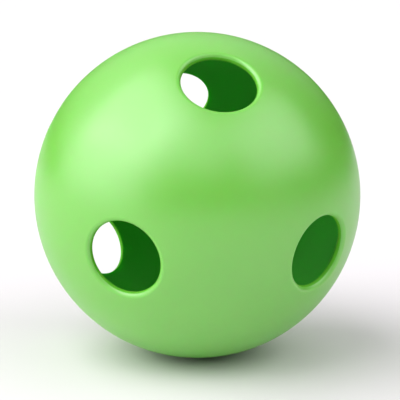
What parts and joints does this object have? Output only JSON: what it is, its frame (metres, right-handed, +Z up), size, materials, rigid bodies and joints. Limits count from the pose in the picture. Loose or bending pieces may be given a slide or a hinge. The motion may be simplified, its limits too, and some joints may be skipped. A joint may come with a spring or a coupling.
{
  "type": "perforated plastic ball",
  "caption": "Hollow lightweight plastic ball for racket sports, moulded as two half shells welded at a lapped seam, with large round air holes.",
  "frame": {"origin": "centre of the ball", "axes": "+Z up as the ball lies on a level surface; the front half shell faces -Y, with its pole 9 degrees above level, and X = 0 is the mirror plane through both poles"},
  "size_m": [0.074, 0.074, 0.074],
  "materials": {
    "lime_plastic": "satin, fine moulded grain",
    "weld_plastic": "smooth, slightly glossier where it melted"
  },
  "bodies": {
    "root": {"front_half_shell": "lime_plastic", "rear_half_shell": "lime_plastic", "weld_ring": "weld_plastic"}
  },
  "joints": []
}
